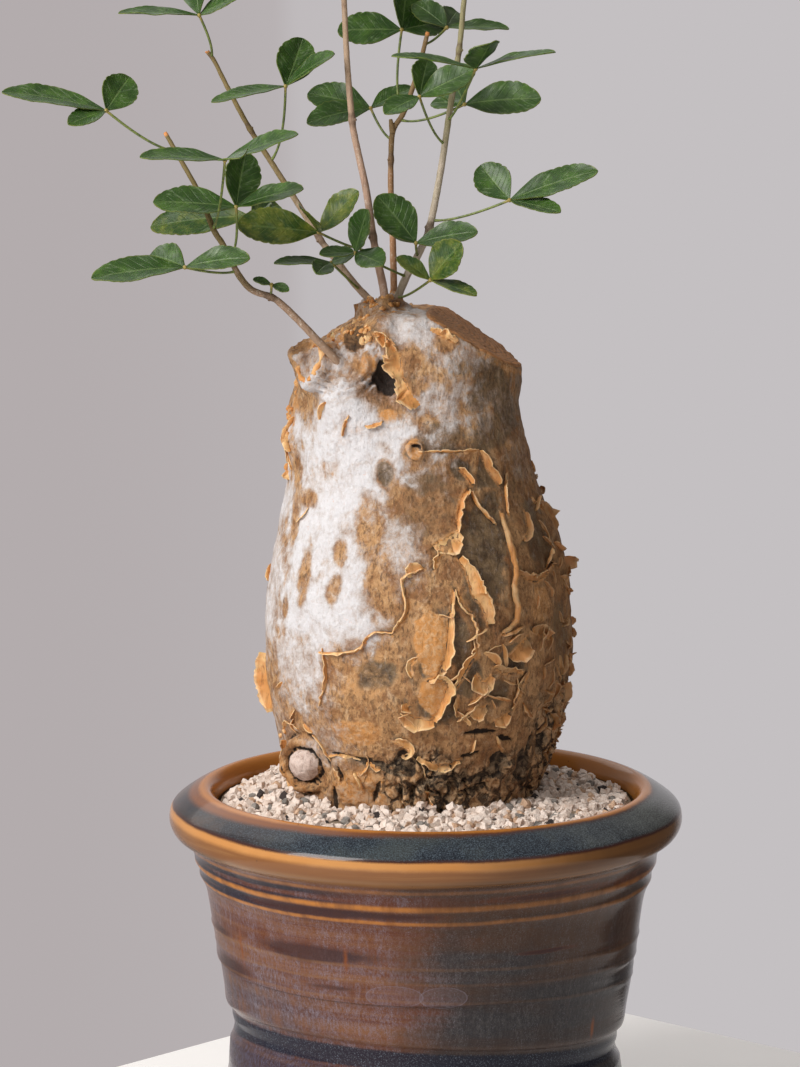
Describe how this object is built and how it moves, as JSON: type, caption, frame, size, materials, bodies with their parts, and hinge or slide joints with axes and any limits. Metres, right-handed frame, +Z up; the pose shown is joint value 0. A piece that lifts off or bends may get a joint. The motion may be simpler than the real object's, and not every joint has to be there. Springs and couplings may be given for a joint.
{
  "type": "potted commiphora",
  "caption": "Caudex succulent with a peeling, chalky swollen base and thin leafy stems, set in grit in a glazed stoneware pot.",
  "frame": {"origin": "centre of the pot's flat base", "axes": "+Z up through the pot and the plant, the front of the plant towards -Y, +X to the right seen from the front"},
  "size_m": [0.1926, 0.15, 0.388],
  "materials": {
    "glazed_pot": "glossy brown glaze breaking to amber on the edges and slate blue where it pools",
    "soil": "matt dark bark and mineral mix",
    "grit": "matt cream pumice with a few grey and dark grains",
    "caudex_bark": "satin brown skin with white bloom and curling papery bark",
    "stem_bark": "matt grey-brown young bark",
    "leaf_green": "satin deep green with paler veins and margins"
  },
  "bodies": {
    "root": {"caudex": "caudex_bark", "grit": "grit", "leaf_a1": "leaf_green", "leaf_a2": "leaf_green", "leaf_a3": "leaf_green", "leaf_a4": "leaf_green", "leaf_a6": "leaf_green", "leaf_b1": "leaf_green", "leaf_b2": "leaf_green", "leaf_b3": "leaf_green", "leaf_b5": "leaf_green", "leaf_c1": "leaf_green", "leaf_c2": "leaf_green", "leaf_c3": "leaf_green", "leaf_d1": "leaf_green", "leaf_d2": "leaf_green", "leaf_d3": "leaf_green", "leaf_d4": "leaf_green", "leaf_e1": "leaf_green", "leaf_e2": "leaf_green", "leaf_e3": "leaf_green", "leaf_e4": "leaf_green", "leaf_e5": "leaf_green", "leaf_e6": "leaf_green", "leaf_e7": "leaf_green", "leaf_e8": "leaf_green", "pot": "glazed_pot", "soil": "soil", "stem_a": "stem_bark", "stem_b": "stem_bark", "stem_c": "stem_bark", "stem_d": "stem_bark", "stem_e": "stem_bark"}
  },
  "joints": []
}
